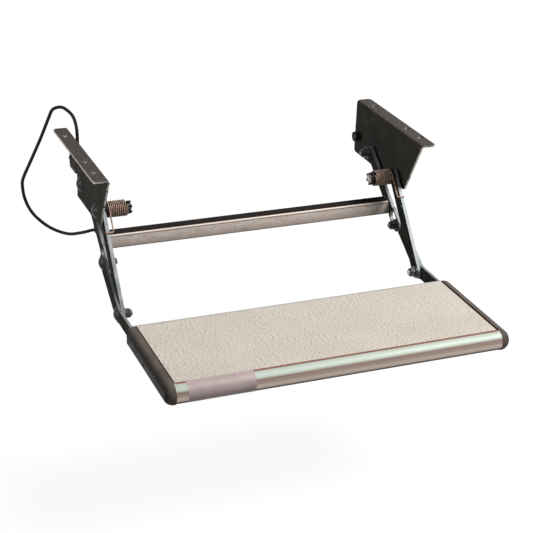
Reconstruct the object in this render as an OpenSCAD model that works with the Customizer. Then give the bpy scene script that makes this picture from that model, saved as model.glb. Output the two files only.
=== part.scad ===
// Pull-out entrance step for a caravan or camper, shown folded out.
// X runs across the step, -Y points away from the vehicle, +Z is up.
// The origin is the middle of the four corner bolt holes, on top of the flanges.

/* [Side plates] */
// Clear width between the two side plates
plate_gap = 472; // [430:1:620]
// Sheet thickness of the side plates
plate_t = 3; // [2.5:0.5:4]
// Length of the flanges, front to rear
plate_len = 224; // [216:1:260]
// Height of the side plates
plate_drop = 86; // [84:1:110]
// How far the front edge leans back at its foot
plate_lean = 46; // [30:1:54]
// Width of the flange outside the plate
flange_w = 20; // [18:0.5:30]
// Inner bend radius of the flange
bend_r = 2; // [1:0.5:4]
// Corner radius of the plates
plate_corner_r = 6; // [2:0.5:9]
// How far the left plate stops short at its rear edge
left_rear_cut = 16; // [0:1:20]
// Diameter of the floor bolt holes
hole_d = 9; // [6:0.1:11]
// Distance of the floor bolt holes from the flange's outer edge
hole_edge = 8.5; // [8:0.5:12]
// Half the distance between the front and rear floor bolts
hole_half_y = 77; // [60:1:95]
// Place of the middle floor bolts
hole_mid_y = -34; // [-50:1:40]

/* [Pivots, side view] */
// Rear pivot, distance behind the origin
rear_pivot_y = 39; // [36:0.5:42]
// Rear pivot, height
rear_pivot_z = -62; // [-64:0.5:-60]
// Front pivot, distance behind the origin
front_pivot_y = -43.5; // [-44:0.5:-40]
// Front pivot, height
front_pivot_z = -71; // [-73:0.5:-69]
// Knee bolt, distance behind the origin
knee_y = -66; // [-68:0.5:-64]
// Knee bolt, height
knee_z = -142; // [-145:0.5:-141]
// Lower pivot, distance behind the origin
lower_pivot_y = -139.5; // [-143:0.5:-139]
// Lower pivot, height
lower_pivot_z = -188.5; // [-191:0.5:-186]

/* [Arms] */
// Thickness of the four arms
arm_t = 5; // [4:0.5:6]
// Width of the front arms
front_arm_w = 20; // [18:0.5:22]
// Width of the rear arms
rear_arm_w = 17; // [16:0.5:20]
// Width of the rear arms' knee end, round the slot
knee_eye_w = 22; // [21:0.5:24]
// Room between a side plate and its arms, filled by a washer
arm_gap = 4; // [3:0.5:5]
// Outer size of the square cross bar
bar_size = 22; // [18:0.5:24]
// Wall of the cross bar
bar_wall = 2; // [1.5:0.5:3]
// Distance of the cross bar from the rear pivots, along the arms
bar_reach = 91.5; // [60:0.5:94]
// How far the cross bar sits below the rear arms' centre line
bar_drop = 8; // [0:0.5:8]
// Length of the bushes on the rear pivots
bush_len = 4; // [3:0.5:12]
// Outer diameter of the bushes
bush_d = 16; // [13:0.5:20]

/* [Bolts] */
// Pivot bolt diameter
bolt_d = 8; // [6:0.5:8]
// Diameter of the domed bolt heads
head_d = 21; // [17:0.5:22]
// Height of the domed bolt heads
head_h = 5; // [3.5:0.5:6]
// Width of the nuts across flats
nut_af = 13; // [12:0.5:14]
// Height of the nuts with their collars
nut_h = 8; // [6:0.5:9]
// Outer diameter of the washers
washer_d = 18; // [16:0.5:20]
// Thickness of the washers under the nuts
washer_t = 1.6; // [1:0.2:2]

/* [Springs] */
// Wire diameter of the torsion springs
wire_d = 2.2; // [1.8:0.1:2.4]
// Turns of each spring
coil_turns = 10; // [6:1:12]
// Distance from one turn to the next
coil_pitch = 2.7; // [2.65:0.05:3.5]
// Outer diameter of the coils
coil_d = 24; // [23:0.5:28]
// Distance from the front pivot to the hook, along the front arm
hook_reach = 37; // [30:1:52]
// Diameter of the spare hook hole in the front arms
hook_hole_d = 5; // [3:0.5:6]
// Length of the black spacer drum between arm and coil
drum_len = 4; // [3:0.5:20]

/* [Tread] */
// Depth of the tread, nose to rear wall
tread_depth = 179; // [150:1:240]
// Height of the tread and of its round nose
tread_h = 28; // [26:0.5:34]
// How far the tread's top lies above the lower pivots
tread_rise = 16.5; // [13:0.5:18.5]
// How far the tread's rear wall lies ahead of the lower pivots
tread_ahead = 70; // [64:0.5:100]
// Wall of the tread profile
tread_wall = 2.5; // [2:0.1:3.2]
// Thickness of the grip mat
mat_t = 2; // [1:0.2:3]
// Bare aluminium margin beside the grip mat
mat_margin = 2.5; // [1:0.5:8]
// Width of the strip between mat and nose
strip_w = 2; // [1:0.2:4]
// Width of the end caps
cap_w = 13.5; // [11:0.5:20]
// Corner radius of the end caps, seen from above
cap_corner_r = 11; // [4:0.5:11]
// Edge radius of the end caps
cap_edge_r = 6; // [2:0.5:8]
// Thickness of the tread brackets
bracket_t = 4; // [3:0.5:5]
// Width of the bracket's slanting bar
bracket_w = 24; // [22:0.5:24]
// Height of the bracket's part along the tread
ear_h = 20; // [16:0.5:20]
// Length of the bracket's part along the tread
ear_len = 140; // [110:1:145]
// Diameter of the bracket screws
screw_d = 6; // [4:0.5:6]

/* [Switch and buffer] */
// Length of the switch housing
switch_len = 38; // [34:0.5:40]
// Height of the switch housing
switch_h = 23; // [20:0.5:26]
// Depth of the switch housing, inside the plate
switch_depth = 14; // [13:0.5:20]
// Rear end of the switch housing
switch_rear_y = 98; // [96:0.5:100]
// Diameter of the switch plunger
plunger_d = 6; // [4:0.5:7]
// Travel of the switch plunger
plunger_stroke = 3; // [2:0.5:3]
// Diameter of the stop buffer
buffer_d = 16; // [12:0.5:20]
// Height of the stop buffer
buffer_h = 10; // [9:0.5:14]
// Place of the stop buffer behind the origin
buffer_y = 95; // [85:1:100]
// Diameter of the cable
cable_d = 5; // [3:0.5:6]

/* [Hidden] */
$fn = 48;
eps = 0.01;

// Clearances
pin_clear = 0.05;     // radial, pivot bolt in its arm
seat_clear = 0.1;     // around screws, necks and nuts that sit still
side_play = 0.2;      // along X, beside a turning arm
stop_clear = 0.4;     // left at the end of a travel
layer_clear = 0.5;    // between the rear arm and the tread bracket
slot_clear = 0.8;     // around the knee bolt in its slot
slot_edge = 0.1;      // between the slot's straight sides and its round ends
pocket_clear = 0.4;   // around the bracket in the end cap

// Faces across the step, right side
in_x = plate_gap / 2;
out_x = in_x + plate_t;
flange_x = out_x + flange_w;
arm_x1 = in_x - arm_gap;
arm_x0 = arm_x1 - arm_t;
bracket_x0 = arm_x1 + layer_clear;
bracket_x1 = bracket_x0 + bracket_t;
cap_x = bracket_x0 + cap_w;
hole_x = flange_x - hole_edge;

// Pivots in the side view, as [y, z]
A = [rear_pivot_y, rear_pivot_z];
B = [front_pivot_y, front_pivot_z];
K = [knee_y, knee_z];
C = [lower_pivot_y, lower_pivot_z];

function unit(v) = v / norm(v);
function turned(p, a) = [p[0] * cos(a) - p[1] * sin(a), p[0] * sin(a) + p[1] * cos(a)];
function heading(v) = atan2(v[1], v[0]);
function left_turn(a) = a < 0 ? a + 360 : a;

// The fold. The tread stays level, so its knee end circles round knee_centre while the rear
// arm circles round A. Both circles pass the knee folded out and folded in, at knee_in.
knee_centre = B + K - C;
fold_line = unit(knee_centre - A);
fold_side = [-fold_line[1], fold_line[0]];
knee_in = K - 2 * ((K - A) * fold_side) * fold_side;
rear_turn = left_turn(heading(knee_in - A) - heading(K - A));
front_turn = left_turn(heading(knee_in - knee_centre) - heading(K - knee_centre));
echo("folded in: front arms turn", front_turn, "rear arms turn", rear_turn);
echo("rear arms' turn for each degree of the front arms", rear_turn / front_turn);

// Between the two ends the knee bolt wanders in the rear arm, so it runs in a slot
rear_dir = unit(K - A);
rear_side = [-rear_dir[1], rear_dir[0]];
front_dir = unit(C - B);
front_side = [front_dir[1], -front_dir[0]];
function knee_on_arm(s) =
    turned(knee_centre + turned(K - knee_centre, s * front_turn) - A, -s * rear_turn);
slot_run = max([for (s = [0 : 0.05 : 1]) norm(K - A) - knee_on_arm(s) * rear_dir]);
slot_drift = max([for (s = [0 : 0.05 : 1]) abs(knee_on_arm(s) * rear_side)]);

// Upper edge of the rear arm when it is folded in, and the stops that meet it there
folded_dir = heading(knee_in - A);
function folded_edge_z(y) = A[1] + (y - A[0]) * tan(folded_dir) + rear_arm_w / 2 / cos(folded_dir);

// Stacks on the pivots, from the arms inward
bush_x0 = arm_x0 - bush_len;
drum_x0 = arm_x0 - drum_len;
coil_r = (coil_d - wire_d) / 2;
coil_gap = 0.4;
coil_x1 = drum_x0 - coil_gap - wire_d / 2;
coil_x0 = coil_x1 - coil_turns * coil_pitch;
coil_tail = 0.8 * wire_d;
sleeve_x0 = coil_x0 - coil_tail - coil_gap;
retainer_t = 1.5;
retainer_d = coil_d - 5;
cup_d = nut_af / cos(30) + 1;
teeth = 6;
tooth_len = 3.4;
tooth_space = 5.6;
thin_nut_h = 3;
bolt_end = 2;

// Tread, from the lower pivot
tread_top = C[1] + tread_rise;
tread_rear = C[0] - tread_ahead;
nose_r = tread_h / 2;
nose_y = tread_rear - tread_depth + nose_r;
nose_z = tread_top - nose_r;
tread_low = tread_top - tread_h;
deck_z1 = tread_top - mat_t;
deck_z0 = deck_z1 - tread_wall;
web_step = (tread_rear - nose_y - 2 * tread_wall) / 3;
web_y = [for (i = [1, 2]) tread_rear - tread_wall - i * web_step];
port_z = (deck_z0 + tread_low) / 2;
port_r = screw_d / 2 + 2.4;
ear_z1 = port_z + ear_h / 2;
ear_z0 = port_z - ear_h / 2;
ear_y = tread_rear - ear_len;
screw_head_h = 3;
screw_head_d = screw_d * 1.8;
foot_w = 14;
cap_rear = tread_rear + 2;

// Switch at the cut-out of the left plate; its sizes are mirrored from the right side
notch_y = A[0] + 15;
switch_low = max(folded_edge_z(switch_rear_y - switch_len), folded_edge_z(switch_rear_y)) + 2.5;
switch_top = switch_low + switch_h;
notch_z = switch_low + 5;
plunger_y = switch_rear_y - 8;
plunger_x = (arm_x0 + arm_x1) / 2;
plunger_tip = folded_edge_z(plunger_y) + stop_clear;
plunger_in = 5;
gland_x = in_x - 8.5;
gland_y = switch_rear_y - 7;
gland_d = cable_d * 2;
gland_h = 8;
screw_y = [switch_rear_y - 7, switch_rear_y - switch_len + 7];
screw_z = switch_top - 8;
small_screw_d = 4;
buffer_z = folded_edge_z(buffer_y) + stop_clear + buffer_d / 2;
buffer_screw_d = 6;

// Route of the cable, from the gland on the switch to its plug behind the left arms
cable_start = [-gland_x, gland_y, switch_top + gland_h];
cable_route = [
    cable_start,
    cable_start + [0, 0, cable_d / 2],
    cable_start + [0, 0, cable_d],
    [-227, 97, 3], [-228, 112, 16], [-235, 122, 24], [-243, 128, 27], [-254, 131, 23],
    [-261, 132, 8], [-273, 132, -20], [-290, 132, -56], [-300, 132, -77], [-303, 133, -91],
    [-299, 135, -117], [-286, 138, -144], [-261, 142, -170], [-232, 148, -187], [-209, 150, -189],
    [-193, 150, -187], [-193 + cable_d / 2, 150, -187], [-193 + cable_d, 150, -187]
];
cable_end = cable_route[len(cable_route) - 1];
plug_len = 16;
plug_w = 10;
plug_h = 8;

// Helpers: outlines drawn as [y, z], [x, z] or [x, y] and extruded along the third axis
module along_x(x0, x1) { translate([x0, 0, 0]) rotate([90, 0, 90]) linear_extrude(x1 - x0) children(); }
module along_y(y0, y1) { translate([0, y1, 0]) rotate([90, 0, 0]) linear_extrude(y1 - y0) children(); }
module along_z(z0, z1) { translate([0, 0, z0]) linear_extrude(z1 - z0) children(); }
module pin(p, x0, x1, d) { translate([x0, p[0], p[1]]) rotate([0, 90, 0]) cylinder(h = x1 - x0, d = d); }
module ring(p, x0, x1, d, bore) {
    difference() {
        pin(p, x0, x1, d);
        pin(p, x0 - 1, x1 + 1, bore);
    }
}
module on_left() { mirror([1, 0, 0]) children(); }
module both_sides() {
    children();
    on_left() children();
}
module rect(p0, p1) { translate(p0) square(p1 - p0); }

// A closed outline, counter-clockwise, with rounded corners: r gives one radius for each corner
module rounded(pts, r) {
    n = len(pts);
    function before(i) = unit(pts[(i + n - 1) % n] - pts[i]);
    function after(i) = unit(pts[(i + 1) % n] - pts[i]);
    function reach(i) = r[i] / tan(acos(before(i) * after(i)) / 2);
    polygon([for (i = [0 : n - 1]) for (d = [before(i), after(i)]) pts[i] + d * reach(i)]);
    for (i = [0 : n - 1])
        if (r[i] > 0)
            translate(pts[i] + unit(before(i) + after(i)) * norm([r[i], reach(i)])) circle(r[i]);
}

// A flat bar with round ends from p to q
module bar(p, q, w) {
    translate(p) rotate(heading(q - p)) {
        circle(d = w);
        translate([norm(q - p), 0]) circle(d = w);
        translate([0, -w / 2]) square([norm(q - p), w]);
    }
}

// A tube swept along points, its rings square to the path; sides run round each ring
function tangent(p, i) = unit(p[min(i + 1, len(p) - 1)] - p[max(i - 1, 0)]);
function flat(v, t) = unit(v - (v * t) * t);
function normals(p, first) =
    [for (i = 0, n = flat(first, tangent(p, 0)); i < len(p);
          i = i + 1, n = i < len(p) ? flat(n, tangent(p, i)) : n) n];
module tube(p, d, sides, first) {
    n = normals(p, first);
    rings = len(p);
    points = [for (i = [0 : rings - 1]) for (k = [0 : sides - 1])
        p[i] + d / 2 * (cos(360 * k / sides) * n[i] + sin(360 * k / sides) * cross(tangent(p, i), n[i]))];
    walls = [for (i = [0 : rings - 2]) for (k = [0 : sides - 1])
        let (a = i * sides + k, b = i * sides + (k + 1) % sides)
        for (f = [[a, a + sides, b + sides], [a, b + sides, b]]) f];
    ends = [for (k = [1 : sides - 2]) for (f = [[0, k, k + 1],
        [(rings - 1) * sides, (rings - 1) * sides + k + 1, (rings - 1) * sides + k]]) f];
    polyhedron(points, concat(walls, ends));
}

// A smooth curve through points, with a few steps between one point and the next
function curve_point(a, b, c, d, t) =
    0.5 * (2 * b + (c - a) * t + (2 * a - 5 * b + 4 * c - d) * t * t + (3 * b - a - 3 * c + d) * t * t * t);
function smooth(p, steps) = let (n = len(p) - 1)
    [for (i = [0 : n - 1]) for (k = [0 : i == n - 1 ? steps : steps - 1])
        curve_point(p[max(i - 1, 0)], p[i], p[i + 1], p[min(i + 2, n)], k / steps)];

// Pivot bolt: domed head outside at x_head, square neck, shank to x_end
module dome(d, h) {
    r = (d * d / 4 + h * h) / (2 * h);
    rotate_extrude() intersection() {
        translate([0, h - r]) circle(r);
        square([d / 2, h]);
    }
}
module coach_bolt(p, x_head, neck, x_end) {
    translate([x_head, p[0], p[1]]) rotate([0, 90, 0]) dome(head_d, head_h);
    along_x(x_head - neck, x_head) translate(p) square(bolt_d, center = true);
    pin(p, x_end, x_head - neck + eps, bolt_d);
}
module neck_hole(p) { translate(p) square(bolt_d + 2 * seat_clear, center = true); }
module washer(p, x0, x1, d) { ring(p, x0, x1, d, bolt_d + 2 * seat_clear); }

// Lock nut with a round collar on the inner side; x1 is its seat
module hexagon(p, x0, x1) {
    translate([x0, p[0], p[1]]) rotate([0, 90, 0])
        cylinder(h = x1 - x0, d = nut_af / cos(30), $fn = 6);
}
module nut(p, x1) {
    hex_h = nut_h * 0.8;
    difference() {
        union() {
            hexagon(p, x1 - hex_h, x1);
            pin(p, x1 - nut_h, x1 - hex_h + eps, nut_af * 0.86);
        }
        pin(p, x1 - nut_h - 1, x1 + 1, bolt_d + 2 * seat_clear);
    }
}

// Side plates
module plate_section() {
    difference() {
        rounded([[in_x, 0], [in_x, -plate_drop], [flange_x, -plate_drop], [flange_x, 0]],
                [bend_r + plate_t, 0, 0, 0]);
        rounded([[out_x, -plate_t], [out_x, -plate_drop - 1], [flange_x + 1, -plate_drop - 1],
                 [flange_x + 1, -plate_t]], [bend_r, 0, 0, 0]);
    }
}
module side_plate() {
    half = plate_len / 2;
    difference() {
        intersection() {
            along_y(-half, half) plate_section();
            along_x(in_x - 1, flange_x + 1)
                rounded([[half, 0], [-half, 0], [plate_lean - half, -plate_drop], [half, -plate_drop]],
                        [0, 0, plate_corner_r, plate_corner_r]);
            along_z(-plate_drop - 1, 1)
                rounded([[in_x - 1, -half], [flange_x, -half], [flange_x, half], [in_x - 1, half]],
                        [0, plate_corner_r, plate_corner_r, 0]);
        }
        for (y = [-hole_half_y, hole_mid_y, hole_half_y])
            translate([hole_x, y, -plate_t - 1]) cylinder(h = plate_t + 2, d = hole_d);
        along_x(in_x - 1, out_x + 1) {
            neck_hole(A);
            neck_hole(B);
        }
    }
}
module side_plate_right() {
    color("dimgray") difference() {
        side_plate();
        pin([buffer_y, buffer_z], in_x - 1, out_x + 1, buffer_screw_d + 2 * seat_clear);
    }
}
module side_plate_left() {
    half = plate_len / 2;
    color("dimgray") on_left() difference() {
        side_plate();
        along_x(in_x - 1, out_x + eps) {
            rect([notch_y, -plate_drop - 1], [half + 1, notch_z]);
            rect([half - left_rear_cut, -plate_drop - 1], [half + 1, -plate_t - bend_r]);
        }
        for (y = screw_y) pin([y, screw_z], in_x - 1, out_x + 1, small_screw_d + 2 * seat_clear);
    }
}

// Pivot hardware on the plates
module rear_pivot_bolts() {
    color("lightsteelblue") both_sides()
        coach_bolt(A, out_x, plate_t, bush_x0 - side_play - washer_t - nut_h - bolt_end);
}
module rear_pivot_nuts() {
    color("lightgray") both_sides() {
        washer(A, bush_x0 - side_play - washer_t, bush_x0 - side_play, washer_d);
        nut(A, bush_x0 - side_play - washer_t);
    }
}
module front_pivot_bolts() {
    color("lightsteelblue") both_sides()
        coach_bolt(B, out_x, plate_t, sleeve_x0 - side_play - retainer_t - tooth_len);
}
module front_pivot_nuts() {
    x1 = sleeve_x0 - side_play - retainer_t;
    color("lightgray") both_sides() difference() {
        hexagon(B, x1 - thin_nut_h, x1);
        pin(B, x1 - thin_nut_h - 1, x1 + 1, bolt_d + 2 * seat_clear);
    }
}
module plate_washers() {
    color("silver") both_sides() for (p = [A, B])
        washer(p, arm_x1 + side_play, in_x, washer_d);
}
module spring_retainers() {
    x1 = sleeve_x0 - side_play;
    seat = x1 - retainer_t;
    color("black") both_sides() difference() {
        ring(B, seat - tooth_len, x1, retainer_d, bolt_d + 2 * seat_clear);
        pin(B, seat - tooth_len - 1, seat, cup_d);
        along_x(seat - tooth_len - 1, seat) translate(B) for (i = [1 : teeth / 2])
            rotate(i * 360 / teeth) square([coil_d, tooth_space], center = true);
    }
}

// Stop buffer for the folded rear arm, inside the right plate
module stop_buffer() {
    p = [buffer_y, buffer_z];
    color("black") ring(p, in_x - buffer_h, in_x, buffer_d, buffer_screw_d + 2 * seat_clear);
}
module buffer_screw() {
    p = [buffer_y, buffer_z];
    color("lightgray") {
        pin(p, in_x - buffer_h, out_x + eps, buffer_screw_d);
        translate([out_x, p[0], p[1]]) rotate([0, 90, 0])
            cylinder(h = buffer_screw_d * 0.7, d = buffer_screw_d * 1.9, $fn = 6);
    }
}

// Position switch on the left plate
module switch_housing() {
    y0 = switch_rear_y - switch_len;
    color("black") on_left() difference() {
        union() {
            along_x(in_x - switch_depth, in_x)
                rounded([[y0, switch_low], [switch_rear_y, switch_low],
                         [switch_rear_y, switch_top], [y0, switch_top]], [3, 3, 3, 3]);
            along_x(in_x - eps, out_x)
                rect([y0 + 3, switch_low], [switch_rear_y - 3, notch_z - seat_clear]);
        }
        translate([plunger_x, plunger_y, switch_low - 1])
            cylinder(h = 1 + plunger_in + plunger_stroke + 1, d = plunger_d + 2 * seat_clear);
        for (y = screw_y) pin([y, screw_z], in_x - 8, in_x + 1, small_screw_d + 2 * seat_clear);
    }
}
module switch_plunger() {
    r = plunger_d / 2;
    color("white") on_left() translate([plunger_x, plunger_y, plunger_tip]) {
        translate([0, 0, r / 2]) cylinder(h = switch_low + plunger_in - plunger_tip - r / 2, r = r);
        translate([0, 0, r / 2]) mirror([0, 0, 1]) dome(2 * r, r / 2);
    }
}
module switch_screws() {
    color("lightgray") on_left() for (y = screw_y) {
        pin([y, screw_z], in_x - 7, out_x + eps, small_screw_d);
        translate([out_x, y, screw_z]) rotate([0, 90, 0]) dome(small_screw_d * 2, 2.4);
    }
}
module cable_gland() {
    color("black") translate([-gland_x, gland_y, switch_top]) {
        cylinder(h = gland_h * 0.45, d = gland_d, $fn = 6);
        cylinder(h = gland_h, d = gland_d * 0.8);
    }
}
module switch_cable() {
    color("black") tube(smooth(cable_route, 3), cable_d, 8, [1, 0, 0]);
}
module cable_plug() {
    color("black") translate(cable_end + [0, -plug_w / 2, -plug_h / 2]) {
        cube([plug_len, plug_w, plug_h]);
        translate([plug_len * 0.35, plug_w * 0.3, plug_h - eps]) cube([plug_len * 0.4, plug_w * 0.4, 1.5]);
    }
}

// Front arms with their springs
module front_arm() {
    along_x(arm_x0, arm_x1) difference() {
        bar(B, C, front_arm_w);
        rear_arm_outline(stop_clear);
    }
}
module front_arm_right() {
    color("slategray") difference() {
        front_arm();
        for (p = [B, C]) pin(p, arm_x0 - 1, arm_x1 + 1, bolt_d + 2 * pin_clear);
        pin(B + front_dir * (hook_reach + 2.5 * hook_hole_d) + front_side * (front_arm_w / 2 - hook_hole_d),
            arm_x0 - 1, arm_x1 + 1, hook_hole_d);
    }
}
module front_arm_left() {
    on_left() front_arm_right();
}
module spring_sleeves() {
    color("black") both_sides() {
        ring(B, drum_x0, arm_x0, coil_d, bolt_d + 4 * pin_clear);
        ring(B, sleeve_x0, drum_x0 + eps, 2 * (coil_r * cos(22.5) - wire_d / 2 - coil_gap),
             bolt_d + 4 * pin_clear);
    }
}

// Torsion spring: a leg hooked round the front arm, the coil, and a tail on the retainer
function on_arm(along, side, x) = let (p = B + front_dir * along + front_side * side) [x, p[0], p[1]];
hook_side = front_arm_w / 2 + wire_d / 2 + stop_clear;
hook_bend = 1.2 * wire_d;
leg_start = heading(front_side);
front_dir_3d = [0, front_dir[0], front_dir[1]];
function coil_at(a) = let (p = B + turned([coil_r, 0], leg_start - a))
    [coil_x1 - coil_pitch * a / 360, p[0], p[1]];
spring_path = concat(
    [for (x = [arm_x1 + wire_d / 2, arm_x0]) on_arm(hook_reach, hook_side, x)],
    [for (a = [0, 30, 60, 90])
        on_arm(hook_reach - hook_bend * (1 - cos(a)), hook_side, coil_x1 + hook_bend * (1 - sin(a)))],
    [for (t = [0.25, 0.5, 0.75])
        on_arm((hook_reach - hook_bend) * (1 - t), hook_side * (1 - t) + coil_r * t, coil_x1)],
    [for (a = [0 : 45 : 360 * coil_turns]) coil_at(a)],
    [let (e = coil_at(360 * coil_turns)) for (x = [wire_d * 0.6, coil_tail]) e - [x, 0, 0]]
);
spring_gap = min([for (i = [0 : len(spring_path) - 1]) for (j = [i + 5 : 1 : len(spring_path) - 1])
    norm(spring_path[i] - spring_path[j])]) - wire_d;
echo("least gap of a spring to itself", spring_gap);
module torsion_spring_right() {
    color("peru") tube(spring_path, wire_d, 6, front_dir_3d);
}
module torsion_spring_left() {
    on_left() torsion_spring_right();
}

// Rear arms and what is welded between them; grow widens the outline on all sides
module rear_arm_outline(grow) {
    knee = norm(K - A);
    neck = knee - slot_run;
    arm = rear_arm_w + 2 * grow;
    eye = knee_eye_w + 2 * grow;
    translate(A) rotate(heading(K - A)) {
        circle(d = arm);
        translate([0, -arm / 2]) square([neck, arm]);
        translate([neck, -eye / 2]) square([slot_run, eye]);
        for (x = [neck, knee]) translate([x, 0]) circle(d = eye);
    }
}
module knee_slot() {
    r0 = bolt_d / 2 + slot_clear;
    r1 = r0 + slot_drift;
    near = slot_run * 0.35;
    far = slot_run + r0 - r1;
    e0 = r0 - slot_edge;
    e1 = r1 - slot_edge;
    translate(K) rotate(heading(A - K)) {
        circle(r0);
        translate([near, 0]) circle(r1);
        translate([far, 0]) circle(r1);
        polygon([[0, -e0], [near, -e1], [far, -e1], [far, e1], [near, e1], [0, e0]]);
    }
}
module rear_arm_right() {
    color("slategray") difference() {
        along_x(arm_x0, arm_x1) rear_arm_outline(0);
        along_x(arm_x0 - 1, arm_x1 + 1) knee_slot();
        pin(A, arm_x0 - 1, arm_x1 + 1, bolt_d + 2 * pin_clear);
    }
}
module rear_arm_left() {
    on_left() rear_arm_right();
}
module rear_bushes() {
    color("gray") both_sides() ring(A, bush_x0, arm_x0, bush_d, bolt_d + 2 * pin_clear);
}
module cross_bar() {
    c = A + rear_dir * bar_reach + rear_side * bar_drop;
    module box(s, r) {
        h = s / 2;
        rounded([c + [-h, -h], c + [h, -h], c + [h, h], c + [-h, h]], [r, r, r, r]);
    }
    color("rosybrown") along_x(-arm_x0, arm_x0) difference() {
        box(bar_size, bar_wall * 1.5);
        box(bar_size - 2 * bar_wall, bar_wall * 0.5);
    }
}

// Tread
module tread_outline(rear) {
    rect([nose_y, tread_low], [rear, tread_top]);
    translate([nose_y, nose_z]) circle(nose_r);
}
module tread_section() {
    difference() {
        union() {
            difference() {
                tread_outline(tread_rear);
                translate([nose_y, nose_z]) intersection() {
                    circle(nose_r - tread_wall);
                    rect([-nose_r, -nose_r], [0, nose_r]);
                }
                rect([nose_y, deck_z1], [tread_rear - tread_wall, tread_top + 1]);
                rect([nose_y + tread_wall, tread_low - 1], [tread_rear - tread_wall, deck_z0]);
            }
            rect([tread_rear - foot_w, tread_low], [tread_rear, tread_low + tread_wall]);
            for (y = web_y) {
                rect([y - tread_wall / 2, tread_low], [y + tread_wall / 2, deck_z0 + eps]);
                rect([y - foot_w / 2, tread_low], [y + foot_w / 2, tread_low + tread_wall]);
                translate([y, port_z]) circle(port_r);
            }
        }
        for (y = web_y) translate([y, port_z]) circle(screw_d / 2 + seat_clear);
    }
}
module tread_profile() {
    color("gainsboro") along_x(-bracket_x0, bracket_x0) tread_section();
}
module grip_mat() {
    color("wheat") along_x(mat_margin - bracket_x0, bracket_x0 - mat_margin)
        rect([nose_y + strip_w, deck_z1], [tread_rear - tread_wall, tread_top]);
}
module nose_strip() {
    color("sienna") along_x(mat_margin - bracket_x0, bracket_x0 - mat_margin)
        rect([nose_y, deck_z1], [nose_y + strip_w, tread_top - 0.3]);
}
module end_cap_right() {
    front = nose_y - nose_r;
    color("dimgray") difference() {
        intersection() {
            along_x(bracket_x0, cap_x) tread_outline(cap_rear);
            along_z(tread_low - 1, tread_top + 1)
                rounded([[bracket_x0 - 1, front], [cap_x, front],
                         [cap_x, cap_rear], [bracket_x0 - 1, cap_rear]],
                        [0, cap_corner_r, cap_corner_r / 2, 0]);
            along_y(front - 1, cap_rear + 1)
                rounded([[bracket_x0 - 1, tread_low], [cap_x, tread_low],
                         [cap_x, tread_top], [bracket_x0 - 1, tread_top]],
                        [0, cap_edge_r, cap_edge_r, 0]);
        }
        along_x(bracket_x0 - 1, bracket_x1 + pocket_clear)
            rect([ear_y - pocket_clear, ear_z0 - pocket_clear], [cap_rear + 1, ear_z1 + pocket_clear]);
        for (y = web_y)
            pin([y, port_z], bracket_x0, bracket_x1 + screw_head_h + pocket_clear,
                screw_head_d + 2 * pocket_clear);
    }
}
module end_cap_left() {
    on_left() end_cap_right();
}
module tread_bracket_right() {
    color("slategray") along_x(bracket_x0, bracket_x1) difference() {
        union() {
            bar(K, C, bracket_w);
            rect([ear_y, ear_z0], [C[0], ear_z1]);
        }
        neck_hole(K);
        neck_hole(C);
        for (y = web_y) translate([y, port_z]) circle(screw_d / 2 + seat_clear);
    }
}
module tread_bracket_left() {
    on_left() tread_bracket_right();
}
module bracket_screws() {
    color("silver") both_sides() for (y = web_y) {
        pin([y, port_z], bracket_x0 - 20, bracket_x1 + eps, screw_d);
        pin([y, port_z], bracket_x1, bracket_x1 + screw_head_h, screw_head_d);
    }
}

// Pivot hardware on the tread brackets
module bracket_bolt(p) {
    coach_bolt(p, bracket_x1, bracket_t, arm_x0 - side_play - washer_t - nut_h - bolt_end);
}
module bracket_nut(p) {
    washer(p, arm_x0 - side_play - washer_t, arm_x0 - side_play, washer_d);
    nut(p, arm_x0 - side_play - washer_t);
}
module knee_bolts() {
    color("lightsteelblue") both_sides() bracket_bolt(K);
}
module knee_nuts() {
    color("lightgray") both_sides() bracket_nut(K);
}
module lower_pivot_bolts() {
    color("lightsteelblue") both_sides() bracket_bolt(C);
}
module lower_pivot_nuts() {
    color("lightgray") both_sides() bracket_nut(C);
}

side_plate_left();
side_plate_right();
rear_pivot_bolts();
rear_pivot_nuts();
front_pivot_bolts();
front_pivot_nuts();
plate_washers();
spring_retainers();
stop_buffer();
buffer_screw();
switch_housing();
switch_screws();
cable_gland();
switch_cable();
cable_plug();
switch_plunger();
front_arm_left();
front_arm_right();
spring_sleeves();
torsion_spring_left();
torsion_spring_right();
rear_arm_left();
rear_arm_right();
cross_bar();
rear_bushes();
tread_profile();
grip_mat();
nose_strip();
end_cap_left();
end_cap_right();
tread_bracket_left();
tread_bracket_right();
bracket_screws();
knee_bolts();
knee_nuts();
lower_pivot_bolts();
lower_pivot_nuts();
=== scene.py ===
"""Pull-out entrance step for a caravan, folded out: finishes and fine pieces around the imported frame.

Metres. X runs across the step, -Y points away from the vehicle, +Z is up.
"""

import math

import bmesh
import bpy
from mathutils import Matrix, Vector


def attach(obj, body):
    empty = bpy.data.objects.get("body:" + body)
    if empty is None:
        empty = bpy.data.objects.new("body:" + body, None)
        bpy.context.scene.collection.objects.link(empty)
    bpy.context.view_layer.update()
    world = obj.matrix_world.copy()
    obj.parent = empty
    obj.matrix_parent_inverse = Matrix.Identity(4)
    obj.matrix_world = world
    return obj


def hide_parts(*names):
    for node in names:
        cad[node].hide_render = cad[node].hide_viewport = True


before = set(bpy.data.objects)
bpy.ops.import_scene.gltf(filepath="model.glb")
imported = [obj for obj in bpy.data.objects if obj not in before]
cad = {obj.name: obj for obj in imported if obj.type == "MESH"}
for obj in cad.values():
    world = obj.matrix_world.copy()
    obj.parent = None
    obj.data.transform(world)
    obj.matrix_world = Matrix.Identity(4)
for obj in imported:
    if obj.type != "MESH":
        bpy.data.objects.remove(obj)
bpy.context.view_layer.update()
scene = bpy.context.scene

MM = 0.001

# Each side, as the sign of X there, with its name
SIDES = {1: "right", -1: "left"}

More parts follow.
